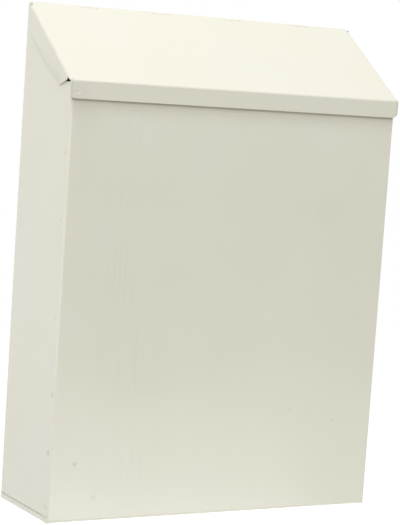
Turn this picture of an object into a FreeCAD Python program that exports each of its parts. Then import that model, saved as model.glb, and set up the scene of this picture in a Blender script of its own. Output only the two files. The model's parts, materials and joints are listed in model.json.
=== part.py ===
import FreeCAD, Part
import math
import os

# Wall mounted post box, folded from sheet steel. Sizes are in millimetres.
# The origin is the centre of the four wall holes on the rear face.
# +X is to the right seen from the front, +Y goes into the wall, +Z is up.

# Sheet, and the inside radius of its folds
sheet = 0.8
bend_inner = 1.2
bend_outer = bend_inner + sheet
# A fold that is added to a flat sheet overlaps it over this length
fold_lead = 2 * bend_outer

# Outside of the body
body_width = 250.0
body_depth = 74.5
body_height = 335.4

# Wall holes in the back, and the height of their centre above the underside
wall_hole_radius = 2.75
wall_hole_spacing_x = 150.0
wall_hole_spacing_z = 220.0
wall_hole_height = 170.0

# Hinge: a wire in knuckles that are rolled from the lid's and the back's own sheet. The back has a few short
# ones, and the lid's long ones fill the rest of its width.
wire_radius = 1.15
wire_clearance = 0.05
wire_end_gap = 0.5
hinge_from_wall = 4.3
hinge_below_top = 0.35
knuckle_gap = 0.25
knuckle_swing_gap = 0.3
knuckle_edge_gap = 0.15
roll_sweep = 285.0
back_knuckle_count = 4
back_knuckle_length = 14.0
back_knuckle_pitch = 56.0

# Lid: slope, distance from the body, and the lip and skirts folded down from it
lid_slope = 34.9
lid_seat_gap = 0.3
lip_clearance = 0.6
lip_height = 11.75
lip_corner_radius = 4.0
skirt_clearance = 1.0
skirt_depth = 14.6
skirt_from_wall = 7.3
skirt_corner_radius = 1.5
skirt_mitre = 52.0
corner_fold_start = 1.6
corner_fold_depth = 1.6
corner_relief = 4.6
corner_relief_depth = 4.2
corner_relief_radius = 1.2
rear_slit = 0.1

# Small round dent that the lip carries near its left end
dent_radius = 2.8
dent_depth = 0.3
dent_from_end = 5.8
dent_below_bend = 7.0
dent_root = 0.6

# Top edge of the front, hemmed to the inside, and the notch beside it in each side panel
front_edge_gap = 1.3
front_hem_depth = 8.0
front_hem_lead = 4.0
front_hem_gap = 0.3
front_hem_from_fold = 1.5
corner_notch_depth = 12.0
corner_notch_radius = 2.0

# Bottom: its edges are turned up flush with the side panels, whose lower edges stop short of the underside
side_edge_height = 4.25
side_edge_corner_radius = 6.0
side_leg = 2.5
bottom_seam = 0.3
bottom_edge_bend = 0.2
corner_slit = 0.1
rear_flange_height = 12.0
flange_end_gap = 0.5

# Back: its side flanges, and the step that carries its knuckles clear of the wall
back_flange = 10.0
back_flange_top_gap = 12.0
back_step_below_axis = 6.0
back_step_inset = 1.6

# Levels and places that follow from the sizes above
underside = -wall_hole_height
side_top = underside + body_height
front_face = -body_depth
half_width = body_width / 2
side_inside = half_width - sheet

slope_angle = math.radians(lid_slope)
up_slope = FreeCAD.Vector(0, math.cos(slope_angle), math.sin(slope_angle))
off_slope = FreeCAD.Vector(0, -math.sin(slope_angle), math.cos(slope_angle))

wire_hole_radius = wire_radius + wire_clearance
knuckle_radius = wire_hole_radius + sheet
hinge_axis = FreeCAD.Vector(0, -hinge_from_wall, side_top - hinge_below_top)

lid_half_width = half_width + skirt_clearance + sheet
lip_face = front_face - lip_clearance - sheet
lid_roll_start = hinge_axis + off_slope * knuckle_radius
lid_bend = lid_roll_start + up_slope * ((lip_face - lid_roll_start.y) / up_slope.y)
lid_length = (lid_roll_start - lid_bend).Length
lip_bottom = lid_bend.z - lip_height

x_axis = FreeCAD.Vector(1, 0, 0)
y_axis = FreeCAD.Vector(0, 1, 0)
z_axis = FreeCAD.Vector(0, 0, 1)
origin = FreeCAD.Vector(0, 0, 0)
side_view = (origin, y_axis, z_axis)
front_view = (origin, x_axis, z_axis)
plan_view = (origin, x_axis, y_axis)
# Seen square to the side: along the lid's slope from its front bend, and out of the slope
slope_view = (lid_bend, up_slope, off_slope)

# A cut that goes through everything starts and ends this far outside it
through = 50.0
# Straight edges shorter than this are left out between two rounded corners
shortest_edge = 0.000001


# A point of a flat view, given along its two axes
def in_view(view, across, up):
    return view[0] + view[1] * across + view[2] * up


# Where a rounded corner leaves its first side, its middle, and where it joins its second side
def corner_arc(before, corner, after, radius):
    to_before = (before - corner).normalize()
    to_after = (after - corner).normalize()
    half_angle = to_before.getAngle(to_after) / 2
    reach = radius / math.tan(half_angle)
    inward = (to_before + to_after).normalize()
    middle = corner + inward * (radius / math.sin(half_angle) - radius)
    return corner + to_before * reach, middle, corner + to_after * reach


# A flat face from corners given as (across, up, radius), with every corner rounded by its radius
def outline(view, corners):
    points = [in_view(view, across, up) for across, up, radius in corners]
    count = len(points)
    bends = []
    for index in range(count):
        radius = corners[index][2]
        if radius > 0:
            bends.append(corner_arc(points[index - 1], points[index], points[(index + 1) % count], radius))
        else:
            bends.append((points[index], None, points[index]))
    edges = []
    for index in range(count):
        start, middle, end = bends[index]
        if middle is not None:
            edges.append(Part.Arc(start, middle, end).toShape())
        following = bends[(index + 1) % count][0]
        if end.distanceToPoint(following) > shortest_edge:
            edges.append(Part.LineSegment(end, following).toShape())
    return Part.Face(Part.Wire(edges))


# The face of a folded sheet seen on edge. The path runs along one of its faces, with the sheet to its left.
def folded_section(view, path, inner_radius):
    runs = [unit(path[index], path[index + 1]) for index in range(len(path) - 1)]
    near = [(path[0][0], path[0][1], 0)]
    far = [(path[0][0] - runs[0][1] * sheet, path[0][1] + runs[0][0] * sheet, 0)]
    for index in range(1, len(path) - 1):
        before, after = runs[index - 1], runs[index]
        turn = before[0] * after[1] - before[1] * after[0]
        straightness = 1 + before[0] * after[0] + before[1] * after[1]
        across = path[index][0] - (before[1] + after[1]) * sheet / straightness
        up = path[index][1] + (before[0] + after[0]) * sheet / straightness
        outside_first = turn > 0
        near.append((*path[index], inner_radius + sheet if outside_first else inner_radius))
        far.append((across, up, inner_radius if outside_first else inner_radius + sheet))
    near.append((path[-1][0], path[-1][1], 0))
    far.append((path[-1][0] - runs[-1][1] * sheet, path[-1][1] + runs[-1][0] * sheet, 0))
    return outline(view, near + far[::-1])


# The direction from one flat point to the next
def unit(start, end):
    length = math.hypot(end[0] - start[0], end[1] - start[1])
    return (end[0] - start[0]) / length, (end[1] - start[1]) / length


# A face drawn in the side view, carried across from one X to another
def across_box(face, start_x, end_x):
    return moved(face, x_axis * start_x).extrude(x_axis * (end_x - start_x))


def moved(shape, shift):
    copy = shape.copy()
    copy.translate(shift)
    return copy


def mirrored(shape):
    return shape.mirror(origin, x_axis)


def fused(shapes):
    return shapes[0].multiFuse(shapes[1:]).removeSplitter()


# Sheet rolled round the hinge wire, with a straight lead into the roll; start and turn are in degrees
def rolled_section(start, turn, lead):
    def around(radius, angle):
        direction = math.radians(angle)
        return hinge_axis + y_axis * (radius * math.cos(direction)) + z_axis * (radius * math.sin(direction))

    way = 1 if turn > 0 else -1
    heading = math.radians(start)
    along = (z_axis * math.cos(heading) - y_axis * math.sin(heading)) * way
    outer, inner = knuckle_radius, wire_hole_radius
    middle, end = start + turn / 2, start + turn
    edges = [
        Part.LineSegment(around(outer, start) - along * lead, around(outer, start)),
        Part.Arc(around(outer, start), around(outer, middle), around(outer, end)),
        Part.LineSegment(around(outer, end), around(inner, end)),
        Part.Arc(around(inner, end), around(inner, middle), around(inner, start)),
        Part.LineSegment(around(inner, start), around(inner, start) - along * lead),
        Part.LineSegment(around(inner, start) - along * lead, around(outer, start) - along * lead),
    ]
    return Part.Face(Part.Wire([edge.toShape() for edge in edges]))


# The stretches of the hinge that the back's knuckles take, from left to right
def back_stretches():
    first = -(back_knuckle_count - 1) * back_knuckle_pitch / 2
    for index in range(back_knuckle_count):
        middle = first + index * back_knuckle_pitch
        yield middle - back_knuckle_length / 2, middle + back_knuckle_length / 2


# The stretches between them that the lid's knuckles take, out to a reach on each side
def lid_stretches(reach):
    start = -reach
    for back_start, back_end in back_stretches():
        yield start, back_start - knuckle_gap
        start = back_end + knuckle_gap
    yield start, reach


# Height, at a distance from the wall, of the plane that lies a depth below the lid's outer face
def under_lid(place, below):
    foot = lid_roll_start - off_slope * below
    return foot.z + (place - foot.y) * math.tan(slope_angle)


def side_outline():
    seat = sheet + lid_seat_gap
    notch_back = front_face + corner_notch_depth
    return outline(side_view, [
        (0, underside, 0),
        (0, side_top, 0),
        (slope_top_place(seat), side_top, 0),
        (notch_back, under_lid(notch_back, seat), 0),
        (notch_back, front_top(), corner_notch_radius),
        (front_face, front_top(), 0),
        (front_face, underside, 0),
    ])


# What is open below the raw lower edges of the side panels, up to the leg at the front fold
def side_edge_room():
    return outline(side_view, [
        (through, underside - through, 0),
        (through, underside + side_edge_height, 0),
        (front_face + side_leg, underside + side_edge_height, side_edge_corner_radius),
        (front_face + side_leg, underside - through, 0),
    ])


# Where the plane at a depth below the lid's outer face is level with the side panel's flat top
def slope_top_place(seat):
    foot = lid_roll_start - off_slope * seat
    return foot.y + (side_top - foot.z) / math.tan(slope_angle)


# Round room in the rear top corners of the side panels, where the ends of the lid's roll turn
def hinge_room():
    radius = knuckle_radius + knuckle_swing_gap
    return Part.makeCylinder(radius, body_width, hinge_axis - x_axis * half_width, x_axis)


# Front and sides, folded round in plan and then cut to the outline of the side panels
def wrap():
    section = folded_section(plan_view, [
        (-half_width, 0),
        (-half_width, front_face),
        (half_width, front_face),
        (half_width, 0),
    ], bend_inner)
    walls = moved(section, z_axis * underside).extrude(z_axis * body_height)
    walls = walls.common(across_box(side_outline(), -half_width, half_width))
    return walls.cut(across_box(side_edge_room(), -half_width, half_width)).cut(hinge_room())


# The straight lower edge of the front gives way to the fold into the bottom
def front_fold_room():
    reach = half_width - bend_outer
    low = FreeCAD.Vector(-reach, front_face, underside)
    return Part.makeBox(2 * reach, bend_outer, bend_outer, low)


# The bottom's flat floor with its fold up into the front
def bottom():
    section = folded_section(side_view, [
        (front_face, underside + fold_lead),
        (front_face, underside),
        (-(sheet + bend_outer), underside),
    ], bend_inner)
    reach = half_width - bend_outer - corner_slit
    return across_box(section, -reach, reach)


# The bottom's rear flange, which stands against the inside of the back
def rear_flange():
    section = folded_section(side_view, [
        (-(sheet + bend_outer + fold_lead), underside),
        (-sheet, underside),
        (-sheet, underside + rear_flange_height),
    ], bend_inner)
    reach = side_inside - bend_outer - flange_end_gap
    return across_box(section, -reach, reach)


# The bottom's left edge, turned up below the side panel's raw edge and rounded along its leg
def bottom_side_edge():
    top = underside + side_edge_height - bottom_seam
    start = front_face + side_leg + bottom_seam
    section = folded_section(front_view, [
        (-half_width, top),
        (-half_width, underside),
        (-half_width + fold_lead, underside),
    ], bottom_edge_bend)
    strip = moved(section, y_axis * start).extrude(y_axis * -start)
    limits = outline(side_view, [
        (through, underside - through, 0),
        (through, top, 0),
        (start, top, side_edge_corner_radius - bottom_seam),
        (start, underside - through, 0),
    ])
    strip = strip.common(across_box(limits, -half_width, 0))
    rear = sheet + bend_outer
    beside_back = side_inside - bend_outer + flange_end_gap
    low = FreeCAD.Vector(-beside_back, -rear, underside)
    return strip.cut(Part.makeBox(beside_back, rear, sheet, low))


# Height of the front's top edge
def front_top():
    return under_lid(front_face, sheet) - front_edge_gap


# The front's top edge turned down on its inside, and the part of the flat front that it takes the place of
def front_hem():
    top = front_top()
    turned = front_face + 2 * sheet + front_hem_gap
    section = folded_section(side_view, [
        (turned, top - front_hem_depth),
        (turned, top),
        (front_face, top),
        (front_face, top - 2 * front_hem_lead),
    ], front_hem_gap / 2)
    reach = half_width - bend_outer - front_hem_from_fold
    low = FreeCAD.Vector(-reach, front_face, top - front_hem_lead)
    room = Part.makeBox(2 * reach, sheet, front_hem_lead, low)
    return across_box(section, -reach, reach), room


def body_shell():
    hem, hem_room = front_hem()
    edge = bottom_side_edge()
    walls = wrap().cut(front_fold_room()).cut(hem_room)
    return fused([walls, bottom(), rear_flange(), edge, mirrored(edge), hem])


# The back's flat sheet with its two side flanges, which end above the bottom's turned up edges
def back_sheet():
    section = folded_section(plan_view, [
        (side_inside, -back_flange),
        (side_inside, 0),
        (-side_inside, 0),
        (-side_inside, -back_flange),
    ], bend_inner)
    top = side_top - back_flange_top_gap
    foot = underside + sheet + flange_end_gap
    flanged = moved(section, z_axis * foot).extrude(z_axis * (top - foot))
    reach = side_inside - bend_outer
    flat = Part.makeBox(2 * reach, sheet, top - underside, FreeCAD.Vector(-reach, -sheet, underside))
    return flanged.fuse(flat)


# The step forward in the back's top edge, up to the notches between its knuckles
def back_step():
    leaf_face = hinge_axis.y + knuckle_radius
    start = side_top - back_flange_top_gap
    step_top = hinge_axis.z - back_step_below_axis
    notch = hinge_axis.z - knuckle_radius - knuckle_swing_gap
    section = folded_section(side_view, [
        (0, start),
        (0, step_top - abs(leaf_face)),
        (leaf_face, step_top),
        (leaf_face, notch),
    ], bend_inner)
    reach = side_inside - back_step_inset
    return across_box(section, -reach, reach)


def wall_holes():
    for x in (-wall_hole_spacing_x / 2, wall_hole_spacing_x / 2):
        for z in (-wall_hole_spacing_z / 2, wall_hole_spacing_z / 2):
            centre = FreeCAD.Vector(x, -through, z)
            yield Part.makeCylinder(wall_hole_radius, 2 * through, centre, y_axis)


def back_panel():
    lead = knuckle_radius + knuckle_swing_gap + sheet
    roll = rolled_section(0, roll_sweep, lead)
    knuckles = [across_box(roll, start, end) for start, end in back_stretches()]
    panel = fused([back_sheet(), back_step()] + knuckles)
    for hole in wall_holes():
        panel = panel.cut(hole)
    return panel


# Sloping top and front lip, up to a distance short of where the roll starts
def lid_top(short, half_reach):
    section = folded_section(slope_view, [
        (lid_length - short, 0),
        (0, 0),
        lip_foot(),
    ], bend_inner)
    return across_box(section, -half_reach, half_reach)


# The lip's lower edge as it is seen from the slope
def lip_foot():
    return -lip_height * up_slope.z, -lip_height * off_slope.z


# What the lip's lower edge and its two rounded corners leave of the lid, seen from the front
def lip_limits():
    limits = outline(front_view, [
        (-lid_half_width, lip_bottom, lip_corner_radius),
        (lid_half_width, lip_bottom, lip_corner_radius),
        (lid_half_width, side_top + through, 0),
        (-lid_half_width, side_top + through, 0),
    ])
    return moved(limits, y_axis * (lip_face - through)).extrude(y_axis * (through + body_depth))


# The lip over the whole width
def lip():
    return lid_top(lid_length - corner_fold_start, lid_half_width)


# The left skirt and the fold that joins it to the top
def skirt():
    across_view = (lid_bend, x_axis, off_slope)
    section = folded_section(across_view, [
        (-lid_half_width + fold_lead, 0),
        (-lid_half_width, 0),
        (-lid_half_width, -skirt_depth),
    ], bend_inner)
    strip = section.extrude(up_slope * lid_length)
    mitre_run = (skirt_depth - corner_relief_depth) / math.tan(math.radians(skirt_mitre))
    rear_top = lid_length - skirt_end_to_roll()
    rear_bottom = rear_top - skirt_depth * math.tan(slope_angle)
    shape = outline(slope_view, [
        (corner_fold_start, through, 0),
        (corner_fold_start, -corner_fold_depth, 0),
        (corner_relief, -corner_fold_depth, corner_relief_radius),
        (corner_relief, -corner_relief_depth, 0),
        (corner_relief + mitre_run, -skirt_depth, skirt_corner_radius),
        (rear_bottom, -skirt_depth, skirt_corner_radius),
        (rear_top + through * math.tan(slope_angle), through, 0),
    ])
    return strip.common(across_box(shape, -lid_half_width - through, 0))


# The dent is a shallow ball shape pressed in from the front, which stands out as a bump behind the lip
def dented(shape):
    ball = (dent_radius ** 2 + dent_depth ** 2) / (2 * dent_depth)
    place = FreeCAD.Vector(-lid_half_width + dent_from_end, lip_face, lid_bend.z - dent_below_bend)
    centre = place + y_axis * (dent_depth - ball)
    behind = Part.makeCylinder(ball, ball, place + y_axis * dent_root, y_axis)
    bump = Part.makeSphere(ball + sheet, centre).common(behind)
    return shape.fuse(bump).cut(Part.makeSphere(ball, centre))


# Length of lid sheet between the rear end of a skirt and the start of the roll
def skirt_end_to_roll():
    return (lid_roll_start.y + skirt_from_wall) / up_slope.y


# Behind the left skirt the flat top runs out over the side panel, as far as the roll
def lid_end_tab(half_reach):
    start = lid_length - skirt_end_to_roll() + rear_slit
    section = outline(slope_view, [
        (start, -sheet, 0),
        (lid_length, -sheet, 0),
        (lid_length, 0, 0),
        (start, 0, 0),
    ])
    return across_box(section, -lid_half_width, -half_reach)


def lid():
    half_reach = lid_half_width - bend_outer
    short = math.sqrt((knuckle_radius + knuckle_edge_gap) ** 2 - wire_hole_radius ** 2)
    roll = rolled_section(lid_slope + 90, -roll_sweep, 2 * short)
    knuckles = [across_box(roll, start, end) for start, end in lid_stretches(half_reach)]
    front = lid_top(short, half_reach).fuse(lip()).common(lip_limits())
    side, tab = skirt(), lid_end_tab(half_reach)
    return dented(fused([front, side, mirrored(side), tab, mirrored(tab)] + knuckles))


def hinge_wire():
    end = lid_half_width - bend_outer - wire_end_gap
    return Part.makeCylinder(wire_radius, 2 * end, hinge_axis - x_axis * end, x_axis)


def main():
    os.makedirs("parts", exist_ok=True)
    pieces = {
        "body_shell": body_shell(),
        "back_panel": back_panel(),
        "lid": lid(),
        "hinge_pin": hinge_wire(),
    }
    for name, shape in pieces.items():
        shape.exportStep(os.path.join("parts", name + ".step"))


main()
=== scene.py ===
import json
import math

import bpy
import numpy as np
from mathutils import Matrix, Vector
from mathutils.geometry import delaunay_2d_cdt


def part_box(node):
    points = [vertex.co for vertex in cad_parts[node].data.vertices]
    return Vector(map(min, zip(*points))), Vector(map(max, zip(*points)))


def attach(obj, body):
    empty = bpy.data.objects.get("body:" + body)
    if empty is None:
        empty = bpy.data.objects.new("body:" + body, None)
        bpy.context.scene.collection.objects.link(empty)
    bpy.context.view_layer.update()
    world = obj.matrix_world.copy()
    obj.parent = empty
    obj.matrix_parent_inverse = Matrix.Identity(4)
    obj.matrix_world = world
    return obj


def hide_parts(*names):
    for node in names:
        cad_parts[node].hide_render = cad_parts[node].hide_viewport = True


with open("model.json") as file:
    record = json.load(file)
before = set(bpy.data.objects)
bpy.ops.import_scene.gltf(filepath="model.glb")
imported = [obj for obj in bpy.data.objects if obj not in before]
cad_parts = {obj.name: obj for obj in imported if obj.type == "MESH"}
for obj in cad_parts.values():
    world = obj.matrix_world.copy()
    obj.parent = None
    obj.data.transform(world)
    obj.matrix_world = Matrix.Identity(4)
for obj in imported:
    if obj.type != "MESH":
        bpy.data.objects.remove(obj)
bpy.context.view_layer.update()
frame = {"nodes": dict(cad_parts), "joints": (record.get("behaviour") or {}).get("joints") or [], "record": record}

mm = 0.001
quarterTurn = math.pi / 2

# Sizes that come from the frame, in mm
shellLow, shellHigh = (np.array(corner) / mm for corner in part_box("body_shell"))
lidLow, lidHigh = (np.array(corner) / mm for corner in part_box("lid"))
hinge = np.array(frame["joints"][0]["pos_m"]) / mm
underside, sideTop, frontFace, halfWidth = shellLow[2], shellHigh[2], shellLow[1], shellHigh[0]
lidHalfWidth, lipFace = lidHigh[0], lidLow[1]
print("frame loaded")


def linear(hexColor):  # sRGB hex to linear RGBA
    parts = [int(hexColor[i:i + 2], 16) / 255 for i in (1, 3, 5)]
    return [p / 12.92 if p <= 0.04045 else ((p + 0.055) / 1.055) ** 2.4 for p in parts] + [1.0]


def addNode(tree, kind, settings=None, links=None):  # one shader node with its settings and incoming links
    node = tree.nodes.new("ShaderNode" + kind)
    for name, value in (settings or {}).items():
        if isinstance(name, str) and hasattr(node, name):
            setattr(node, name, value)
        else:
            node.inputs[name].default_value = value
    for name, source in (links or {}).items():  # a node stands for its first output
        tree.links.new(getattr(source, "outputs", [source])[0], node.inputs[name])
    return node


def rampEnds(pair, start=0.0, become=(0.0, 1.0)):  # a ramp's two ends and what they become, inputs 1 to 4
    return {1: start + pair[0], 2: start + pair[1], 3: become[0], 4: become[1]}


def newMaterial(name):
    material = bpy.data.materials.new(name)
    material.use_nodes = True
    material.node_tree.nodes.clear()
    return material, material.node_tree


def addObject(name, data):
    thing = bpy.data.objects.new(name, data)
    bpy.context.scene.collection.objects.link(thing)
    return thing


# Stoved cream enamel on steel sheet: sprayed and baked, so it is glossy, with a faint orange peel. It has
# seen some use: dull streaks run down the front, and the left fold has small chips. Painted shade lies on the
# lip, on the front below it with a painted shadow line right below the lip, on the lid's folds, along the
# sides' seams and in two spots at the upper left of the front and the lip, and the sides get darker towards
# the bottom. Lengths are in mm. A share is how much of the dark colour shows, and a pair gives the two ends
# of a soft edge.
creamEnamel = {
    "paint": "#eae9d9",
    "paintWarm": "#e6e4d0",
    "cloudSize": 70.0,
    "cloudContrast": (0.3, 0.7),
    "roughness": 0.115,
    "roughnessSpread": 0.015,
    "peelSize": 1.1,                    # real orange peel is 0.5 to 1.5 mm
    "peelDepth": 0.004,
    # one dark colour for the streaks, the painted shade and the sides' darkening towards the bottom
    "grimeAndShade": "#8a8168",
    "patchSize": 30.0,
    "patchContrast": (0.35, 0.65),
    "patchShares": (0.8, 1.0),
    "frontBegins": (1.5, 0.3),          # behind the front's face
    "lipBegins": (-0.55, -0.75),        # in front of it
    "lipFoot": 104.5,
    "frontEnds": (2.0, 4.0),            # above the lip's foot, so that the lid's bend stays free of streaks and painted shade
    "streakSize": 2.6,
    "streakLength": 60.0,
    "streakContrast": (0.48, 0.72),
    "breakSize": 28.0,                  # streaks fade and come back along their way
    "breakContrast": (0.35, 0.6),
    "breakShares": (0.2, 1.0),
    "streakMiddle": -74.0,
    "streakReach": (12.8, 32.0),        # to both sides of the middle
    "streakShares": (0.03, 0.0045),
    # Painted shade darkens the lip a little
    "lipShadeShare": 0.03,
    # Painted shade on the front below the lip, darker towards it, and a painted shadow line right below it
    "underLipShadeReach": (-13.5, 0.0),      # from the lip's foot
    "underLipShadePower": 2.0,
    "underLipShadeShare": 0.28,
    "underLipShadowLine": (-0.5, 0.4),            # from the lip's foot
    "underLipShadowLineShare": 0.33,
    "sideBegins": (-1.5, -0.5),         # from the side's face
    # The sides get darker towards the bottom
    "sideDarkeningReach": (0.0, 98.0),      # above the underside
    "sideDarkeningShare": 0.07,
    # Painted shade along the seams below the sides' raw edges
    "seamHeight": 4.1,
    "seamReach": (0.39, 1.3),
    "seamShadeShare": 0.17,
    # Painted shade on the lid's folds takes away their highlight, and dulls their gloss as well
    "foldBegins": (0.02, 0.3),          # past the side's face, where only the lid's folds and skirts are
    "foldEnds": (0.9, 1.7),
    "foldShadeShare": 0.17,
    # the colour of the chips and of two spots of painted shade
    "chipAndShadeColor": "#7d7766",
    "spotCore": 0.3,
    "raggedSize": 1.5,
    "raggedReach": 3.2,
    "chipsAndShadeSpots": [  # x, y, z as in the frame, radius, share; the three large ones are soft: a smudge, then painted shade at the upper left of the front and on the lip's left end
        (-125.0, -70.5, 71.4, 1.8, 0.22),
        (-125.0, -69.2, 27.7, 1.5, 0.16),
        (-125.0, -69.0, -35.7, 1.6, 0.16),
        (-124.2, -72.0, -85.4, 2.0, 0.3),
        (-124.5, -71.0, -123.5, 2.6, 0.28),
        (-125.0, -71.4, -159.4, 2.4, 0.16),
        (-107.0, -74.5, -131.3, 2.0, 0.24),
        (-92.3, -74.5, -154.4, 2.8, 0.12),
        (56.2, -74.5, -100.0, 1.3, 0.18),
        (92.0, -74.5, -108.2, 1.3, 0.16),
        (76.8, -74.5, 39.9, 16.0, 0.03),
        # the next two spots are painted shade at the upper left of the front and on the lip's left end
        (-115.0, -74.5, 95.0, 15.0, 0.05),
        (-120.0, -75.9, 110.0, 9.0, 0.06),
    ],
}


def makeCreamEnamel(values):
    material, tree = newMaterial("stovedCreamEnamel")
    times, plus, minus = ({"operation": name} for name in ("MULTIPLY", "ADD", "SUBTRACT"))
    distance = {"operation": "ABSOLUTE"}
    lipFoot = values["lipFoot"]
    place = addNode(tree, "TexCoord").outputs["Object"]
    inMm = addNode(tree, "VectorMath", {"operation": "SCALE", "Scale": 1 / mm}, {0: place})
    across, depth, height = addNode(tree, "SeparateXYZ", None, {0: inMm}).outputs

    cloud = addNode(tree, "TexNoise", {"Scale": 1 / values["cloudSize"], "Detail": 3.0}, {"Vector": inMm})
    paints = {"data_type": "RGBA", 6: linear(values["paint"]), 7: linear(values["paintWarm"])}
    tone = addNode(tree, "Mix", paints, {0: cloud}).outputs[2]

    # Where the marks lie: 1 on the front, the lip, the sides or the lid's folds, and 0 elsewhere
    onFront = addNode(tree, "MapRange", rampEnds(values["frontBegins"], frontFace), {0: depth})
    onLip = addNode(tree, "MapRange", rampEnds(values["lipBegins"], frontFace), {0: depth})
    onFront = addNode(tree, "Math", minus, {0: onFront, 1: onLip})
    underTop = addNode(tree, "MapRange", rampEnds(values["frontEnds"], lipFoot, (1.0, 0.0)), {0: height})
    onFront = addNode(tree, "Math", times, {0: onFront, 1: underTop})
    sideways = addNode(tree, "Math", distance, {0: across})
    onSide = addNode(tree, "MapRange", rampEnds(values["sideBegins"], halfWidth), {0: sideways})
    onFold = addNode(tree, "MapRange", rampEnds(values["foldBegins"], halfWidth), {0: sideways})
    pastFold = addNode(tree, "MapRange", rampEnds(values["foldEnds"], halfWidth), {0: sideways})
    onFold = addNode(tree, "Math", minus, {0: onFold, 1: pastFold})
    patchy = addNode(tree, "TexNoise", {"Scale": 1 / values["patchSize"], "Detail": 2.0}, {"Vector": inMm})
    patchEnds = rampEnds(values["patchContrast"], become=values["patchShares"])
    patchy = addNode(tree, "MapRange", patchEnds, {0: patchy})

    # Streaks: a noise stretched along the height, broken by a larger one, and faded to both sides
    stretch = (1.0, 1.0, values["streakSize"] / values["streakLength"])
    long = addNode(tree, "Mapping", {"Scale": stretch}, {"Vector": inMm})
    lines = addNode(tree, "TexNoise", {"Scale": 1 / values["streakSize"], "Detail": 2.0}, {"Vector": long})
    lines = addNode(tree, "MapRange", rampEnds(values["streakContrast"]), {0: lines})
    breaks = addNode(tree, "TexNoise", {"Scale": 1 / values["breakSize"], "Detail": 1.0}, {"Vector": inMm})
    breakEnds = rampEnds(values["breakContrast"], become=values["breakShares"])
    breaks = addNode(tree, "MapRange", breakEnds, {0: breaks})
    aside = addNode(tree, "Math", {**minus, 1: values["streakMiddle"]}, {0: across})
    aside = addNode(tree, "Math", distance, {0: aside})
    streakEnds = rampEnds(values["streakReach"], become=values["streakShares"])
    streaks = addNode(tree, "MapRange", streakEnds, {0: aside})
    for factor in (lines, breaks, onFront):
        streaks = addNode(tree, "Math", times, {0: streaks, 1: factor})

    # Painted shade on the front below the lip, darker towards it, with a painted shadow line right below it
    belowLip = addNode(tree, "MapRange", rampEnds(values["underLipShadeReach"], lipFoot), {0: height})
    belowLip = addNode(tree, "Math", {"operation": "POWER", 1: values["underLipShadePower"]}, {0: belowLip})
    belowLip = addNode(tree, "Math", {**times, 1: values["underLipShadeShare"]}, {0: belowLip})
    belowLip = addNode(tree, "Math", times, {0: belowLip, 1: patchy})
    shadowLineEnds = rampEnds(values["underLipShadowLine"], lipFoot, (0.0, values["underLipShadowLineShare"]))
    underLipShadowLine = addNode(tree, "MapRange", shadowLineEnds, {0: height})
    belowLip = addNode(tree, "Math", plus, {0: belowLip, 1: underLipShadowLine})
    belowLip = addNode(tree, "Math", times, {0: belowLip, 1: onFront})

    # The sides darker towards the bottom, and painted shade along their seams
    offSeam = addNode(tree, "Math", {**minus, 1: underside + values["seamHeight"]}, {0: height})
    offSeam = addNode(tree, "Math", distance, {0: offSeam})
    seamEnds = rampEnds(values["seamReach"], become=(values["seamShadeShare"], 0.0))
    atSides = addNode(tree, "MapRange", seamEnds, {0: offSeam})
    sideEnds = rampEnds(values["sideDarkeningReach"], underside, (values["sideDarkeningShare"], 0.0))
    lowDown = addNode(tree, "MapRange", sideEnds, {0: height})
    atSides = addNode(tree, "Math", plus, {0: atSides, 1: lowDown})
    for factor in (onSide, patchy):
        atSides = addNode(tree, "Math", times, {0: atSides, 1: factor})

    # Painted shade on the lip and on the lid's folds
    onLip = addNode(tree, "Math", {**times, 1: values["lipShadeShare"]}, {0: onLip})
    onFold = addNode(tree, "Math", {**times, 1: values["foldShadeShare"]}, {0: onFold})
    grimeAndShade = streaks
    for darkening in (belowLip, atSides, onLip, onFold):
        grimeAndShade = addNode(tree, "Math", plus, {0: grimeAndShade, 1: darkening})
    # The dark colour paints the streaks, the painted shade and the sides' darkening towards the bottom
    grimeAndShadeMix = {"data_type": "RGBA", 7: linear(values["grimeAndShade"])}
    tone = addNode(tree, "Mix", grimeAndShadeMix, {0: grimeAndShade, 6: tone}).outputs[2]

    # Chips, and two spots of painted shade: spots about their places, made ragged by a noise that shifts the place
    # by up to half its reach
    shift = addNode(tree, "TexNoise", {"Scale": 1 / values["raggedSize"], "Detail": 3.0}, {"Vector": inMm})
    reach = {"operation": "SCALE", "Scale": values["raggedReach"]}
    shift = addNode(tree, "VectorMath", reach, {0: shift.outputs["Color"]})
    ragged = addNode(tree, "VectorMath", {"operation": "ADD"}, {0: inMm, 1: shift})
    spots = []
    for *middle, radius, share in values["chipsAndShadeSpots"]:
        shifted = [number + values["raggedReach"] / 2 for number in middle]
        away = addNode(tree, "VectorMath", {"operation": "DISTANCE", 1: shifted}, {0: ragged})
        spotEnds = rampEnds((radius * values["spotCore"], radius), become=(share, 0.0))
        spots.append(addNode(tree, "MapRange", spotEnds, {0: away.outputs["Value"]}))
    chippedAndShaded = spots[0]
    for spot in spots[1:]:
        chippedAndShaded = addNode(tree, "Math", {"operation": "MAXIMUM"}, {0: chippedAndShaded, 1: spot})
    chipAndShadeMix = {"data_type": "RGBA", 7: linear(values["chipAndShadeColor"])}
    tone = addNode(tree, "Mix", chipAndShadeMix, {0: chippedAndShaded, 6: tone}).outputs[2]

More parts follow.
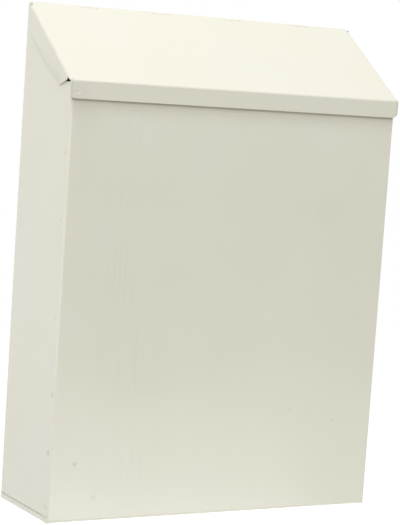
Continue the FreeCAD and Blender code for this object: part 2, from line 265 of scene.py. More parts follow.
    roughness, spread = values["roughness"], values["roughnessSpread"]
    roughEnds = rampEnds(values["cloudContrast"], become=(roughness - spread, roughness + spread))
    rough = addNode(tree, "MapRange", roughEnds, {0: cloud})
    rough = addNode(tree, "Math", plus, {0: rough, 1: grimeAndShade})
    peel = addNode(tree, "TexNoise", {"Scale": 1 / values["peelSize"], "Detail": 1.0}, {"Vector": inMm})
    bump = addNode(tree, "Bump", {"Distance": values["peelDepth"] * mm}, {"Height": peel})
    shader = addNode(tree, "BsdfPrincipled", {"IOR": 1.5}, {
        "Base Color": tone,
        "Roughness": rough,
        "Normal": bump,
    })
    addNode(tree, "OutputMaterial", None, {"Surface": shader})
    return material


# Zinc plated steel wire, drawn through a die, so fine lines run along it
zincWire = {
    "metal": "#b9bbbd",
    "roughness": 0.36,
    "lineSize": 0.25,
    "lineDepth": 0.01,
    "lineStretch": 0.02,
}


def makeZincWire(values):
    material, tree = newMaterial("drawnZincWire")
    place = addNode(tree, "TexCoord").outputs["Object"]
    stretched = addNode(tree, "Mapping", {"Scale": (values["lineStretch"], 1.0, 1.0)}, {"Vector": place})
    lines = addNode(tree, "TexNoise", {"Scale": 1 / (values["lineSize"] * mm)}, {"Vector": stretched})
    bump = addNode(tree, "Bump", {"Distance": values["lineDepth"] * mm}, {"Height": lines})
    shader = addNode(tree, "BsdfPrincipled", {
        "Base Color": linear(values["metal"]),
        "Metallic": 1.0,
        "Roughness": values["roughness"],
    }, {"Normal": bump})
    addNode(tree, "OutputMaterial", None, {"Surface": shader})
    return material


enamel = makeCreamEnamel(creamEnamel)
wire = makeZincWire(zincWire)
print("materials made")

# The three sheet pieces are cut as flat blanks and folded, as the real ones are. Lengths are in mm until a
# piece is placed. A point of a blank is (across, along, depth), with depth 0 on its outer face.
steelSheet = {
    "thick": 0.8,
    "insideRadius": 1.2,
    "bendStep": math.radians(10),
    "gridStep": 9.0,
    "edgeRound": 0.22,      # paint rounds the cut edges
    "edgeSteps": 3,
    "cornerStep": math.radians(12),
    "slitRoot": 0.06,       # how far a slit or an edge beside a bend runs past the bend's line
    "cornerRoom": 0.15,     # how near a line of the grid may pass to a corner
    "bendRoom": 1.0,        # and to a bend's line
    "weld": 1e-5,
    "slopeStep": 0.05,
    "normalStep": 0.01,
}
thick = steelSheet["thick"]
slitRoot = steelSheet["slitRoot"]
insideRadius = steelSheet["insideRadius"]
outsideRadius = insideRadius + thick
sideInside = halfWidth - thick
far = 1000.0                # past the end of any blank


def bendLength(angle, radius=insideRadius):  # flat length of a bend, along the middle of the sheet
    return abs(angle) * (radius + thick / 2)


def makeBend(along, line, way, angle, where, radius=insideRadius, span=(-far, far)):
    # along: 0 bends what lies past an across value, 1 what lies past an along value; way: which side is
    # past; span: from where to where its lines run on the blank
    return {
        "along": along,
        "line": line,
        "way": way,
        "angle": angle,
        "where": where,
        "radius": radius,
        "span": span,
    }


def bendPoints(points, flat, bend):
    # Past its line the sheet runs round a cylinder: across' = r sin t + rest cos t and
    # depth' = c - r cos t + rest sin t, where t is the flat length past the line over the middle radius, up
    # to the bend's angle, rest is the length left over, c is the cylinder's centre depth and r the distance
    # from it. A negative angle bends the sheet the other way, which is the same with the depth mirrored.
    axis, way, angle = bend["along"], bend["way"], abs(bend["angle"])
    past = way * (points[:, axis] - bend["line"])
    chosen = bend["where"](flat) & (past > 0)
    depth = points[:, 2] if bend["angle"] > 0 else thick - points[:, 2]
    turn = np.clip(past / (bend["radius"] + thick / 2), 0, angle)
    rest = np.maximum(past - bendLength(angle, bend["radius"]), 0)
    centre = thick + bend["radius"]
    reach = (centre - depth) * np.sin(turn) + rest * np.cos(turn)
    folded = centre - (centre - depth) * np.cos(turn) + rest * np.sin(turn)
    folded = folded if bend["angle"] > 0 else thick - folded
    result = points.copy()
    result[chosen, axis] = (bend["line"] + way * reach)[chosen]
    result[chosen, 2] = folded[chosen]
    return result


def bendLines(bend):  # where a blank needs edges, so that its bend comes out round
    steps = max(2, math.ceil(abs(bend["angle"]) / steelSheet["bendStep"]))
    past = np.linspace(0, bendLength(bend["angle"], bend["radius"]), steps + 1)
    return bend["line"] + bend["way"] * past


def roundedLoop(corners):
    # Corners are (across, along, radius). A rounded one becomes an arc from where its circle leaves the
    # first side to where it joins the second.
    loop = []
    for index, (x, y, radius) in enumerate(corners):
        corner = np.array([x, y])
        if radius == 0:
            loop.append(corner)
            continue
        sides = [np.array(corners[beside % len(corners)][:2]) - corner for beside in (index - 1, index + 1)]
        toBefore, toAfter = [side / np.linalg.norm(side) for side in sides]
        half = math.acos(np.clip(toBefore @ toAfter, -1, 1)) / 2
        middle = (toBefore + toAfter) / np.linalg.norm(toBefore + toAfter)
        centre = corner + middle * radius / math.sin(half)
        sweep = math.pi - 2 * half
        angles = np.linspace(-sweep / 2, sweep / 2, math.ceil(sweep / steelSheet["cornerStep"]) + 1)
        turned = np.sign(toBefore[0] * toAfter[1] - toBefore[1] * toAfter[0])
        side = np.array([-middle[1], middle[0]]) * turned
        loop += [centre - radius * (middle * math.cos(t) - side * math.sin(t)) for t in angles]
    return np.array(loop)


def mitre(before, after):  # how far a corner moves when both its sides move out by one
    return (before + after) / (1 + (before * after).sum(1, keepdims=True))


def insetLoop(loop, inset, outer=True):  # each side moves in by the inset, and each corner along its mitre
    step = np.roll(loop, -1, 0) - loop
    step /= np.linalg.norm(step, axis=1, keepdims=True)
    area = (loop[:, 0] * np.roll(loop[:, 1], -1) - loop[:, 1] * np.roll(loop[:, 0], -1)).sum()
    out = np.stack([step[:, 1], -step[:, 0]], 1) * np.sign(area) * (1 if outer else -1)
    return loop - mitre(np.roll(out, 1, 0), out) * inset


def insideLoops(points, loops):  # even number of crossings to the right is outside
    starts = np.concatenate(loops)
    ends = np.concatenate([np.roll(loop, -1, 0) for loop in loops])
    x, y = points[:, :1], points[:, 1:]
    spans = (starts[:, 1] > y) != (ends[:, 1] > y)
    rise = np.where(ends[:, 1] == starts[:, 1], 1.0, ends[:, 1] - starts[:, 1])
    crossing = starts[:, 0] + (ends[:, 0] - starts[:, 0]) * (y - starts[:, 1]) / rise
    return (spans & (x < crossing)).sum(1) % 2 == 1


def gridLines(loops, bends, axis):  # even steps, moved off corners and left out where a bend has its lines
    low, high = loops[0][:, axis].min(), loops[0][:, axis].max()
    even = np.linspace(low, high, max(2, round((high - low) / steelSheet["gridStep"]) + 1))
    bent = [bendLines(bend) for bend in bends if bend["along"] == axis]
    bent = np.concatenate(bent) if bent else np.zeros(0)
    corners = np.concatenate(loops)[:, axis]
    clear = []
    for value in even:
        while np.abs(corners - value).min() < steelSheet["cornerRoom"] and low < value < high:
            value += steelSheet["cornerRoom"]
        if not len(bent) or np.abs(bent - value).min() > steelSheet["bendRoom"]:
            clear.append(value)
    return clear


def triangulateBlank(loops, bends, extraAcross, extraAlong):
    # The blank's face: a grid of lines across and along it, and each bend's own, cut by outline and holes
    low, high = loops[0].min(0) - 1, loops[0].max(0) + 1
    lines = [(0, value, low[1], high[1]) for value in (*gridLines(loops, bends, 0), *extraAcross)]
    lines += [(1, value, low[0], high[0]) for value in (*gridLines(loops, bends, 1), *extraAlong)]
    for bend in bends:
        axis, span = bend["along"], bend["span"]
        start, end = max(low[1 - axis], span[0]), min(high[1 - axis], span[1])
        lines += [(axis, value, start, end) for value in bendLines(bend)]
    points, edges = [], []
    for loop in loops:
        first = len(points)
        points += loop.tolist()
        edges += [(first + i, first + (i + 1) % len(loop)) for i in range(len(loop))]
    for axis, value, start, end in lines:
        edges.append((len(points), len(points) + 1))
        points += [(value, start), (value, end)] if axis == 0 else [(start, value), (end, value)]
    found = delaunay_2d_cdt([Vector(p) for p in points], edges, [], 0, steelSheet["weld"], False)
    flat, triangles = np.array([tuple(p) for p in found[0]]), np.array(found[2])
    triangles = triangles[insideLoops(flat[triangles].mean(1), loops)]
    used, triangles = np.unique(triangles, return_inverse=True)
    triangles = triangles.reshape(-1, 3)
    flat = flat[used]
    corners = flat[triangles]
    spin = np.cross(corners[:, 1] - corners[:, 0], corners[:, 2] - corners[:, 0])
    triangles[spin < 0] = triangles[spin < 0][:, ::-1]
    return flat, triangles


def rimEdges(triangles):  # edges that only one triangle has, each with the blank on its left
    edges = np.concatenate([triangles[:, [0, 1]], triangles[:, [1, 2]], triangles[:, [2, 0]]])
    size = triangles.max() + 1
    codes, reverse = edges[:, 0] * size + edges[:, 1], edges[:, 1] * size + edges[:, 0]
    return edges[~np.isin(codes, reverse)]


def foldedSheet(name, outline, holes, bends, place, waves, extraAcross=(), extraAlong=()):
    # A blank's two faces are joined by a rim with a quarter round of the paint's radius at each face. They
    # are carried through the bends one after the other, the outermost bend first, and then placed.
    roundness, steps = steelSheet["edgeRound"], steelSheet["edgeSteps"]
    loops = [insetLoop(outline, roundness)] + [insetLoop(hole, roundness, False) for hole in holes]
    flat, triangles = triangulateBlank(loops, bends, extraAcross, extraAlong)
    rim = rimEdges(triangles)
    step = flat[rim[:, 1]] - flat[rim[:, 0]]
    out = np.stack([step[:, 1], -step[:, 0]], 1) / np.linalg.norm(step, axis=1, keepdims=True)
    count = len(flat)
    leaving, arriving = np.zeros((count, 2)), np.zeros((count, 2))
    leaving[rim[:, 0]], arriving[rim[:, 1]] = out, out
    onRim = rim[:, 0]
    outward = mitre(arriving[onRim], leaving[onRim])
    ringIndex = np.zeros(count, int)
    ringIndex[onRim] = np.arange(len(onRim))

    turns = np.linspace(0, quarterTurn, steps + 1)[1:]
    rings = [(roundness * math.sin(t), thick - roundness * (1 - math.cos(t)), t) for t in turns]
    rings += [(reach, thick - depth, math.pi - t) for reach, depth, t in reversed(rings)]
    layers = [np.column_stack([flat, np.full(count, depth)]) for depth in (thick, 0.0)]
    facing = [np.tile([0.0, 0.0, way], (count, 1)) for way in (1, -1)]
    for reach, depth, turn in rings:
        layers.append(np.column_stack([flat[onRim] + outward * reach, np.full(len(onRim), depth)]))
        facing.append(np.column_stack([outward * math.sin(turn), np.full(len(onRim), math.cos(turn))]))
    points, normals = np.concatenate(layers), np.concatenate(facing)

    # The waves shift every point in depth, and the normals lean with their slopes. A second point, a little
    # ahead of each along its normal, goes through the bends as well and gives the normal there.
    nudge = steelSheet["slopeStep"]
    wave = waves(points[:, 0], points[:, 1])
    slopeAcross = (waves(points[:, 0] + nudge, points[:, 1]) - wave) / nudge
    slopeAlong = (waves(points[:, 0], points[:, 1] + nudge) - wave) / nudge
    normals[:, 0] -= slopeAcross * normals[:, 2]
    normals[:, 1] -= slopeAlong * normals[:, 2]
    flatPoints = points.copy()
    points[:, 2] += wave
    ahead = points + normals * steelSheet["normalStep"]
    for bend in bends:
        points, ahead = bendPoints(points, flatPoints, bend), bendPoints(ahead, flatPoints, bend)
    turnToPlace, start = place
    points, ahead = points @ turnToPlace + start, ahead @ turnToPlace + start
    normals = (ahead - points) / np.linalg.norm(ahead - points, axis=1, keepdims=True)

    # Belts of quads join the two faces by way of the rings
    belts = [rim]
    for index in range(len(rings)):
        belts.append(2 * count + index * len(onRim) + ringIndex[rim])
    belts.append(rim + count)
    quads = [np.column_stack([a[:, 0], b[:, 0], b[:, 1], a[:, 1]]) for a, b in zip(belts, belts[1:])]
    faces = [triangles, triangles[:, ::-1] + count] + quads
    if np.linalg.det(turnToPlace) < 0:
        faces = [group[:, ::-1] for group in faces]
    faces = sum([group.tolist() for group in faces], [])
    mesh = bpy.data.meshes.new(name)
    mesh.from_pydata((points * mm).tolist(), [], faces)
    mesh.polygons.foreach_set("use_smooth", np.ones(len(faces), bool))
    mesh.normals_split_custom_set_from_vertices(normals.tolist())
    mesh.materials.append(enamel)
    return addObject(name, mesh)


def hollows(across, along, places):
    # Sheet is never quite flat. Each hollow is (across, along, half width, half length, depth), a cosine
    # from its middle to its rim, and a negative depth is a bulge.
    total = np.zeros_like(across)
    for middleAcross, middleAlong, halfWide, halfLong, depth in places:
        reach = np.hypot((across - middleAcross) / halfWide, (along - middleAlong) / halfLong)
        total += depth * (1 + np.cos(np.pi * np.minimum(reach, 1))) / 2
    return total


lidShape = {
    "slope": math.radians(34.9),
    "lipHeight": 11.75,
    "lipCorner": 4.0,
    "skirtDepth": 14.6,
    "skirtFromWall": 7.3,
    "skirtCorner": 1.5,
    "mitre": math.radians(52),  # of a skirt's front edge
    "foldStart": 1.6,           # where a skirt's fold begins, behind the lip's bend
    "foldDepth": 1.6,
    "relief": 5.4,              # how far the hole at each front corner runs back
    "reliefDepth": 4.2,
    "reliefCorner": 1.2,
    "slit": 0.1,
    "dentRadius": 2.8,
    "dentDepth": 0.45,
    "dentFromEnd": 5.8,
    "dentBelowBend": 7.0,
    "dentLines": 9,
    "pressed": [  # in each skirt: place behind its foot's start, half width, half length, depth
        (0, 14, 30, 0.75),
        (25, 11, 50, 0.3),
    ],
}
knuckles = {
    "gap": 0.12,
    "swingGap": 0.3,
    "edgeGap": 0.06,
    "boreRadius": 1.2,
    "roll": math.radians(285),
    "backCount": 4,
    "backLength": 14.0,
    "backPitch": 56.0,
}
knuckleRadius = knuckles["boreRadius"] + thick
swingRadius = knuckleRadius + knuckles["swingGap"]
slope = lidShape["slope"]
upSlope = np.array([0, math.cos(slope), math.sin(slope)])
offSlope = np.array([0, -math.sin(slope), math.cos(slope)])
rollStart = hinge + offSlope * knuckleRadius
lidBend = rollStart + upSlope * (lipFace - rollStart[1]) / upSlope[1]
lidLength = np.linalg.norm(rollStart - lidBend)


def backStretches():  # the stretches of the hinge that the back's few short knuckles take
    count, half = knuckles["backCount"], knuckles["backLength"] / 2
    middles = (np.arange(count) - (count - 1) / 2) * knuckles["backPitch"]
    return [(middle - half, middle + half) for middle in middles]


def lidStretches(reach):  # what is left between them, out to a reach on each side
    starts, ends = zip(*backStretches())
    lows = [-reach] + [end + knuckles["gap"] for end in ends]
    highs = [start - knuckles["gap"] for start in starts] + [reach]
    return list(zip(lows, highs))


def toothedEdge(stretches, tip, root):  # corners from right to left, out to each knuckle's tip and back
    corners = []
    for start, end in reversed(stretches):
        corners += [(end, root, 0), (end, tip, 0), (start, tip, 0), (start, root, 0)]
    return corners


def makeLid(values):
    angle = quarterTurn - slope
    lipLine = outsideRadius * math.tan(angle / 2)
    skirtLine = lidHalfWidth - outsideRadius
    rollLength = bendLength(knuckles["roll"], knuckles["boreRadius"])
    lipEnd = lipLine - bendLength(angle) - (values["lipHeight"] - lipLine)
    slitMiddle = values["foldStart"] + values["slit"] / 2

    def skirtAcross(depth):  # flat place of a depth below the outer face
        if depth < outsideRadius:
            return skirtLine + bendLength(math.acos(1 - depth / outsideRadius))
        return skirtLine + bendLength(quarterTurn) + depth - outsideRadius

    mitreRun = (values["skirtDepth"] - values["reliefDepth"]) / math.tan(values["mitre"])
    rearTop = lidLength - (rollStart[1] + values["skirtFromWall"]) / upSlope[1]
    rearFoot = rearTop - values["skirtDepth"] * math.tan(slope)
    rearMiddle = rearTop + values["slit"] / 2
    skirtStart = values["foldStart"] + values["slit"]
    notch = lidLength - math.sqrt((knuckleRadius + knuckles["edgeGap"]) ** 2 - knuckles["boreRadius"] ** 2)
    skirt = [
        (lidHalfWidth, values["foldStart"], 0),
        (skirtLine - slitRoot, values["foldStart"], 0),
        (skirtLine - slitRoot, skirtStart, 0),
        (skirtAcross(values["foldDepth"]), skirtStart, 0),
        (skirtAcross(values["foldDepth"]), values["relief"], values["reliefCorner"]),
        (skirtAcross(values["reliefDepth"]), values["relief"], 0),
        (skirtAcross(values["skirtDepth"]), values["relief"] + mitreRun, values["skirtCorner"]),
        (skirtAcross(values["skirtDepth"]), rearFoot, values["skirtCorner"]),
        (skirtAcross(outsideRadius), rearTop - outsideRadius * math.tan(slope), 0),
        (skirtLine - slitRoot, rearTop, 0),
        (skirtLine - slitRoot, rearTop + values["slit"], 0),
        (lidHalfWidth, rearTop + values["slit"], 0),
        (lidHalfWidth, lidLength - slitRoot, 0),
        (skirtLine, lidLength - slitRoot, 0),
    ]
    foot = [(-lidHalfWidth, lipEnd, values["lipCorner"]), (lidHalfWidth, lipEnd, values["lipCorner"])]
    rear = toothedEdge(lidStretches(skirtLine), lidLength + rollLength, notch)[1:-1]
    outline = roundedLoop(foot + skirt + rear + [(-x, y, r) for x, y, r in reversed(skirt)])

    def onSkirt(flat):
        return (flat[:, 1] > slitMiddle) & (flat[:, 1] < rearMiddle)

    def onLip(flat):
        return flat[:, 1] < slitMiddle

    def onKnuckles(flat):
        return flat[:, 1] > lidLength

    bends = [
        makeBend(1, lidLength, 1, knuckles["roll"], onKnuckles, knuckles["boreRadius"]),
        makeBend(0, skirtLine, 1, quarterTurn, onSkirt, span=(slitMiddle, rearMiddle)),
        makeBend(0, -skirtLine, -1, quarterTurn, onSkirt, span=(slitMiddle, rearMiddle)),
        makeBend(1, lipLine, -1, angle, onLip),
    ]
    place = (np.array([[1, 0, 0], upSlope, -offSlope]), lidBend)
    dentAlong = 2 * lipLine - bendLength(angle) - values["dentBelowBend"]
    dentAcross = values["dentFromEnd"] - lidHalfWidth

    # A round dent in the lip, and skirts pressed closer to the side panels along their lower edges
    skirtFoot, footStart = skirtAcross(values["skirtDepth"]), values["relief"] + mitreRun
    hollowPlaces = [(dentAcross, dentAlong, values["dentRadius"], values["dentRadius"], values["dentDepth"])]
    for fromStart, halfWide, halfLong, depth in values["pressed"]:
        for way in (-1, 1):
            hollowPlaces.append((way * skirtFoot, footStart + fromStart, halfWide, halfLong, depth))

    def waves(across, along):
        return hollows(across, along, hollowPlaces)

    dentSteps = np.linspace(-1, 1, values["dentLines"]) * values["dentRadius"]
    dentGrid = (dentAcross + dentSteps, dentAlong + dentSteps)
    piece = foldedSheet("lidSheet", outline, [], bends, place, waves, *dentGrid)
    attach(piece, "lid")
    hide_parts("lid")


makeLid(lidShape)
print("lid folded")

shellShape = {
    "seatGap": 0.3,
    "frontGap": 1.3,
    "notchDepth": 12.0,
    "notchCorner": 2.0,
    "hemDepth": 8.0,
    "hemGap": 0.3,
    "hemFromFold": 1.5,
    "hemSlit": 0.1,
    "edgeHeight": 4.25,
    "edgeCorner": 6.0,
    "leg": 2.5,
    "seam": 0.2,
    "edgeBend": 0.2,
    "slit": 0.1,
    "rearFlange": 12.0,
    "endGap": 0.5,
    "arcSteps": 8,
    "hollows": [  # in the front
        (-62, -32, 60, 75, 0.45),
        (62, -32, 60, 75, -0.45),
    ],
}


def underLid(place, below):  # height of the plane at a depth below the lid's outer face
    footY, footZ = (rollStart - offSlope * below)[1:]
    return footZ + (place - footY) * math.tan(slope)


def makeShell(values):
    foldLine = halfWidth - outsideRadius
    top = underLid(frontFace, thick) - values["frontGap"]
    seat = thick + values["seatGap"]
    notch = frontFace + values["notchDepth"]
    hemRadius = values["hemGap"] / 2
    hemLine = top - hemRadius - thick
    hemEnd = hemLine + bendLength(math.pi, hemRadius) + values["hemDepth"] - hemRadius - thick
    hemSide = foldLine - values["hemFromFold"]
    floorLine = underside + outsideRadius
    floorSide = foldLine - values["slit"]
    edgeOutside = values["edgeBend"] + thick
    edgeLine = halfWidth - edgeOutside
    narrow, beside = [sideInside - outsideRadius + way * values["endGap"] for way in (-1, 1)]

    def sideAcross(y):  # flat place of a distance from the wall on a side panel
        return foldLine + bendLength(quarterTurn) + y - frontFace - outsideRadius

    def floorAlong(y):
        return floorLine - bendLength(quarterTurn) - (y - frontFace - outsideRadius)

    def edgeAcross(z):  # flat place of a height on the bottom's turned up edge
        return edgeLine + bendLength(quarterTurn, values["edgeBend"]) + z - underside - edgeOutside

    # The side panel's raw edge and the bottom's turned up edge below it have round ends about one centre
    edgeTop, arcRadius = underside + values["edgeHeight"], values["edgeCorner"]
    arcCentre = (frontFace + values["leg"] + arcRadius, edgeTop - arcRadius)

    def aboutCorner(radius, height):  # points from a height up to the top of a round end
        start = math.pi - math.asin((height - arcCentre[1]) / radius)
        turns = np.linspace(start, quarterTurn, values["arcSteps"])
        return arcCentre[0] + radius * np.cos(turns), arcCentre[1] + radius * np.sin(turns)

    legArc = [(sideAcross(y), z, 0) for y, z in zip(*aboutCorner(arcRadius, underside))]
    edgeY, edgeZ = aboutCorner(arcRadius - values["seam"], underside + edgeOutside)
    edgeArc = [(edgeAcross(z), floorAlong(y), 0) for y, z in zip(edgeY[::-1], edgeZ[::-1])]
    edgeStart = floorAlong(aboutCorner(arcRadius - values["seam"], underside)[0][0])
    earAngle = math.asin((sideTop - hinge[2]) / swingRadius)
    seatAngle = slope + quarterTurn + math.acos((knuckleRadius - seat) / swingRadius) - 2 * math.pi
    hingeArc = [(sideAcross(hinge[1] + swingRadius * math.cos(t)), hinge[2] + swingRadius * math.sin(t), 0)
                for t in np.linspace(earAngle, seatAngle, 2 * values["arcSteps"])]
    rearLine = floorAlong(-thick - outsideRadius)
    right = [
        (narrow, rearLine - bendLength(quarterTurn) - values["rearFlange"] + outsideRadius, 0),
        (narrow, rearLine, 0),
        (beside, rearLine, 0),
        (beside, floorAlong(0), 0),
        (edgeArc[0][0], floorAlong(0), 0),
        *edgeArc,
        (edgeLine, edgeStart, 0),
        (floorSide, edgeStart, 0),
        (floorSide, floorLine, 0),
        (foldLine, floorLine, 0),
        (foldLine, underside, 0),
        *legArc,
        (sideAcross(0), edgeTop, 0),
        (sideAcross(0), sideTop, 0),
        *hingeArc,
        (sideAcross(notch), underLid(notch, seat), 0),
        (sideAcross(notch), top, values["notchCorner"]),
        (hemSide + values["hemSlit"], top, 0),
        (hemSide + values["hemSlit"], hemLine - slitRoot, 0),
        (hemSide, hemLine - slitRoot, 0),
        (hemSide, hemEnd, 0),
    ]
    outline = roundedLoop(right + [(-x, y, r) for x, y, r in reversed(right)])
    hemMiddle = hemSide + values["hemSlit"] / 2
    slotMiddle = (floorSide + foldLine) / 2
    rearMiddle = (narrow + beside) / 2
    belowSides = underside - values["endGap"]

    def onHem(flat):
        return np.abs(flat[:, 0]) < hemMiddle

    def onRearFlange(flat):
        return np.abs(flat[:, 0]) < rearMiddle

    def onEdges(flat):
        return flat[:, 1] < belowSides

    def onSides(flat):
        return flat[:, 1] > belowSides

    def onFloor(flat):
        inFloor = (np.abs(flat[:, 0]) < slotMiddle) | (flat[:, 1] < belowSides)
        return (flat[:, 1] < floorLine) & inFloor

    bends = [
        makeBend(1, hemLine, 1, math.pi, onHem, hemRadius, (-hemMiddle, hemMiddle)),
        makeBend(1, rearLine, -1, quarterTurn, onRearFlange, span=(-rearMiddle, rearMiddle)),
        makeBend(0, edgeLine, 1, quarterTurn, onEdges, values["edgeBend"], (-far, belowSides)),
        makeBend(0, -edgeLine, -1, quarterTurn, onEdges, values["edgeBend"], (-far, belowSides)),
        makeBend(1, floorLine, -1, quarterTurn, onFloor),
        makeBend(0, foldLine, 1, quarterTurn, onSides, span=(belowSides, far)),
        makeBend(0, -foldLine, -1, quarterTurn, onSides, span=(belowSides, far)),
    ]
    place = (np.array([[1.0, 0, 0], [0, 0, 1.0], [0, 1.0, 0]]), np.array([0, frontFace, 0]))

    def waves(across, along):
        return hollows(across, along, values["hollows"])

    piece = foldedSheet("bodyShellSheet", outline, [], bends, place, waves)
    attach(piece, "box")
    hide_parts("body_shell")


makeShell(shellShape)
print("body shell folded")

backShape = {
    "flange": 10.0,
    "flangeTopGap": 12.0,
    "stepBelowHinge": 6.0,
    "stepInset": 1.6,
    "footGap": 0.5,
    "slit": 0.1,
    "holeRadius": 2.75,
    "holeSteps": 32,
}


def makeBack(values):
    foldLine = sideInside - outsideRadius
    flangeEnd = foldLine + bendLength(quarterTurn) + values["flange"] - outsideRadius
    flangeTop = sideTop - values["flangeTopGap"]
    eighthTurn = math.pi / 4
    leafY = hinge[1] + knuckleRadius
    stepTop = hinge[2] - values["stepBelowHinge"]
    firstLine = stepTop - abs(leafY) - outsideRadius * math.tan(eighthTurn / 2)
    slant = abs(leafY) * math.sqrt(2) - (outsideRadius + insideRadius) * math.tan(eighthTurn / 2)
    secondLine = firstLine + bendLength(eighthTurn) + slant
    leafStart = stepTop + insideRadius * math.tan(eighthTurn / 2)
    leafFlat = secondLine + bendLength(eighthTurn)
    rollLine = leafFlat + hinge[2] - leafStart
    notch = rollLine - swingRadius
    tip = rollLine + bendLength(knuckles["roll"], knuckles["boreRadius"])
    slitMiddle = flangeTop + values["slit"] / 2
    flangeFoot = underside + thick + values["footGap"]
    stepReach = sideInside - values["stepInset"]
    right = [
        (foldLine - slitRoot, underside, 0),
        (foldLine - slitRoot, flangeFoot, 0),
        (flangeEnd, flangeFoot, 0),
        (flangeEnd, flangeTop, 0),
        (foldLine - slitRoot, flangeTop, 0),
        (foldLine - slitRoot, flangeTop + values["slit"], 0),
        (stepReach, flangeTop + values["slit"], 0),
        (stepReach, notch, 0),
    ]
    rear = toothedEdge(backStretches(), tip, notch)
    outline = roundedLoop(right + rear + [(-x, y, r) for x, y, r in reversed(right)])
    pattern = frame["record"]["mounts"][0]["dims"]
    turns = np.linspace(0, 2 * math.pi, values["holeSteps"], endpoint=False)
    circle = np.stack([np.cos(turns), np.sin(turns)], 1) * values["holeRadius"]
    apart = np.array([pattern["spacing_x_mm"], pattern["spacing_y_mm"]])
    holes = [circle + apart / 2 * np.array(ways) for ways in ((-1, -1), (-1, 1), (1, -1), (1, 1))]

    def anywhere(flat):
        return np.ones(len(flat), bool)

    def onFlanges(flat):
        return flat[:, 1] < slitMiddle

    bends = [
        makeBend(1, rollLine, 1, knuckles["roll"], anywhere, knuckles["boreRadius"]),
        makeBend(1, secondLine, 1, -eighthTurn, anywhere),
        makeBend(1, firstLine, 1, eighthTurn, anywhere),
        makeBend(0, foldLine, 1, quarterTurn, onFlanges, span=(-far, slitMiddle)),
        makeBend(0, -foldLine, -1, quarterTurn, onFlanges, span=(-far, slitMiddle)),
    ]
    place = (np.array([[1.0, 0, 0], [0, 0, 1.0], [0, -1.0, 0]]), np.zeros(3))

    def waves(across, along):
        return np.zeros_like(across)

    piece = foldedSheet("backPanelSheet", outline, holes, bends, place, waves)
    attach(piece, "box")
    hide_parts("back_panel")


makeBack(backShape)
print("back panel folded")

pin = frame["nodes"]["hinge_pin"]
pin.data.materials.clear()
pin.data.materials.append(wire)
pin.data.polygons.foreach_set("use_smooth", np.ones(len(pin.data.polygons), bool))
pin.data.update()

# Camera, from the lines of the photograph's picture of the box
cameraView = {
    "azimuth": -29.80,
    "elevation": 6.41,
    "roll": 3.92,
    "distance": 1301.25 * mm,
    "target": Vector((18.72, 0.0, -25.12)) * mm,
    "lens": 124.81,
    "sensor": 36.0,
    "shift": (0.00484, 0.05008),
    "clip": (0.05, 20.0),
}


def makeCamera(values):
    data = bpy.data.cameras.new("camera")
    camera = addObject("camera", data)
    azimuth, elevation, roll = (math.radians(values[key]) for key in ("azimuth", "elevation", "roll"))
    level = math.cos(elevation)
    back = Vector((math.sin(azimuth) * level, -math.cos(azimuth) * level, math.sin(elevation)))
    right = (-back).cross(Vector((0, 0, 1))).normalized()
    up = right.cross(-back)
    rolledRight = right * math.cos(roll) + up * math.sin(roll)
    rolledUp = up * math.cos(roll) - right * math.sin(roll)
    turn = Matrix((rolledRight, rolledUp, back)).transposed()
    camera.matrix_world = Matrix.Translation(values["target"] + back * values["distance"]) @ turn.to_4x4()
    data.lens = values["lens"]
    data.sensor_width = values["sensor"]
    data.shift_x, data.shift_y = values["shift"]
    data.clip_start, data.clip_end = values["clip"]
    bpy.context.scene.camera = camera


makeCamera(cameraView)

# Studio: a pale floor below the box, which hangs clear of it, soft lamps and a white surround. The low lamps
# stand for what a white table throws back, and two of them lie flat where the lowest part of the front
# reflects them. A dark card stands where the rest of the front reflects the room.
floorPaper = {
    "drop": 0.35,           # below the box
    "size": 6.0,
    "color": "#f4f4f2",
    "lift": 0.5,            # added where the camera sees it, so that only the shadow is off white
    "gleam": 0.45,          # added in reflections
}
floorLevel = underside * mm - floorPaper["drop"]


def makeFloor(values):
    half = values["size"] / 2
    mesh = bpy.data.meshes.new("floor")
    corners = [(x, y, floorLevel) for x, y in ((-half, -half), (half, -half), (half, half), (-half, half))]
    mesh.from_pydata(corners, [], [(0, 1, 2, 3)])
    floor = addObject("floor", mesh)
    material, tree = newMaterial("palePaper")
    matte = addNode(tree, "BsdfDiffuse", {"Color": linear(values["color"])})
    seen = addNode(tree, "LightPath").outputs
    looked = addNode(tree, "Math", {"operation": "MULTIPLY", 1: values["lift"]}, {0: seen["Is Camera Ray"]})
    gleam = addNode(tree, "Math", {"operation": "MULTIPLY", 1: values["gleam"]}, {0: seen["Is Glossy Ray"]})
    strength = addNode(tree, "Math", {"operation": "MAXIMUM"}, {0: looked, 1: gleam})
    lift = addNode(tree, "Emission", None, {"Strength": strength})
    both = addNode(tree, "AddShader", None, {0: matte, 1: lift})
    addNode(tree, "OutputMaterial", None, {"Surface": both})
    mesh.materials.append(material)


makeFloor(floorPaper)

darkCard = {
    "foot": [(-0.8, -2.75), (-0.2, -3.0), (0.38, -3.02), (2.46, -1.82)],
    "height": 1.2,
    "color": "#2c2c2e",
}


def makeDarkCard(values):
    foot = np.array(values["foot"])
    count = len(foot)
    rises = (0, values["height"])
    corners = np.concatenate([np.column_stack([foot, np.full(count, floorLevel + rise)]) for rise in rises])
    first = np.arange(count - 1)
    faces = np.column_stack([first + 1, first, first + count, first + count + 1])
    mesh = bpy.data.meshes.new("darkCard")
    mesh.from_pydata(corners.tolist(), [], faces.tolist())
    card = addObject("darkCard", mesh)
    material, tree = newMaterial("darkPaper")
    matte = addNode(tree, "BsdfDiffuse", {"Color": linear(values["color"])})
    addNode(tree, "OutputMaterial", None, {"Surface": matte})
    mesh.materials.append(material)
    card.visible_camera = False


makeDarkCard(darkCard)

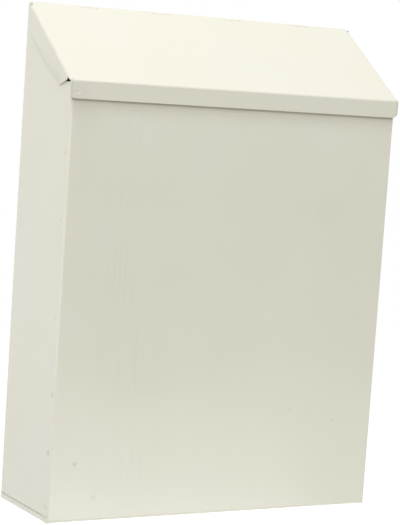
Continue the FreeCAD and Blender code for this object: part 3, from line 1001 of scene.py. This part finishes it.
surround = {
    "light": 0.53,          # what it gives to surfaces, while it looks white
    "color": "#ffffff",
}


def makeSurround(values):
    world = bpy.data.worlds.new("surround")
    bpy.context.scene.world = world
    world.use_nodes = True
    tree = world.node_tree
    tree.nodes.clear()
    seen = addNode(tree, "LightPath").outputs
    looked = seen["Is Camera Ray"]
    for kind in ("Is Glossy Ray", "Is Transmission Ray"):
        looked = addNode(tree, "Math", {"operation": "MAXIMUM"}, {0: looked, 1: seen[kind]})
    strength = addNode(tree, "MapRange", rampEnds((0.0, 1.0), become=(values["light"], 1.0)), {0: looked})
    light = addNode(tree, "Background", {"Color": linear(values["color"])}, {"Strength": strength})
    addNode(tree, "OutputWorld", None, {"Surface": light})


makeSurround(surround)

# Each lamp looks at its aim, or lies flat, turned as given, and shines up
softLamps = [
    {
        "name": "topLamp",
        "place": (-0.4, -0.38, 1.45),
        "aim": (0, 0, 0),
        "size": (2.2, 2.2),
        "power": 25.3,
        "color": "#fbf9ff",
    },
    {
        "name": "leftLamp",
        "place": (-1.6, -0.3, 0.3),
        "aim": (0, 0, 0),
        "size": (2.4, 2.4),
        "power": 3.5,
        "color": "#eeeaff",
    },
    {
        "name": "frontLamp",
        "place": (0.1, -1.5, 0.55),
        "aim": (0, 0, 0),
        "size": (0.8, 0.8),
        "power": 0.25,
        "color": "#ffffd8",
    },
    {
        "name": "lowLamp",
        "place": (0.06, -0.3, -0.36),
        "aim": (0.03, -0.07, -0.1),
        "size": (0.3, 0.3),
        "power": 0.13,
        "color": "#ffffe1",
    },
    {
        "name": "tableLampFar",
        "place": (0.55, -1.71, -0.515),
        "turn": 30,
        "size": (1.0, 1.1),
        "power": 2.8,
        "color": "#f3f1ff",
    },
    {
        "name": "tableLampNear",
        "place": (0.35, -1.33, -0.515),
        "turn": 30,
        "size": (1.0, 0.6),
        "power": 3.4,
        "color": "#edf0ff",
    },
]


def makeLamps(lamps):
    for lamp in lamps:
        data = bpy.data.lights.new(lamp["name"], "AREA")
        data.shape = "RECTANGLE"
        data.size, data.size_y = lamp["size"]
        data.energy = lamp["power"]
        data.color = linear(lamp["color"])[:3]
        thing = addObject(lamp["name"], data)
        thing.location = lamp["place"]
        if "aim" in lamp:
            towards = Vector(lamp["aim"]) - Vector(lamp["place"])
            thing.rotation_euler = towards.to_track_quat("-Z", "Y").to_euler()
        else:
            thing.rotation_euler = (math.pi, 0, math.radians(lamp["turn"]))
        thing.visible_camera = False


makeLamps(softLamps)
bpy.context.scene.view_settings.view_transform = "Standard"
print("camera and studio set")
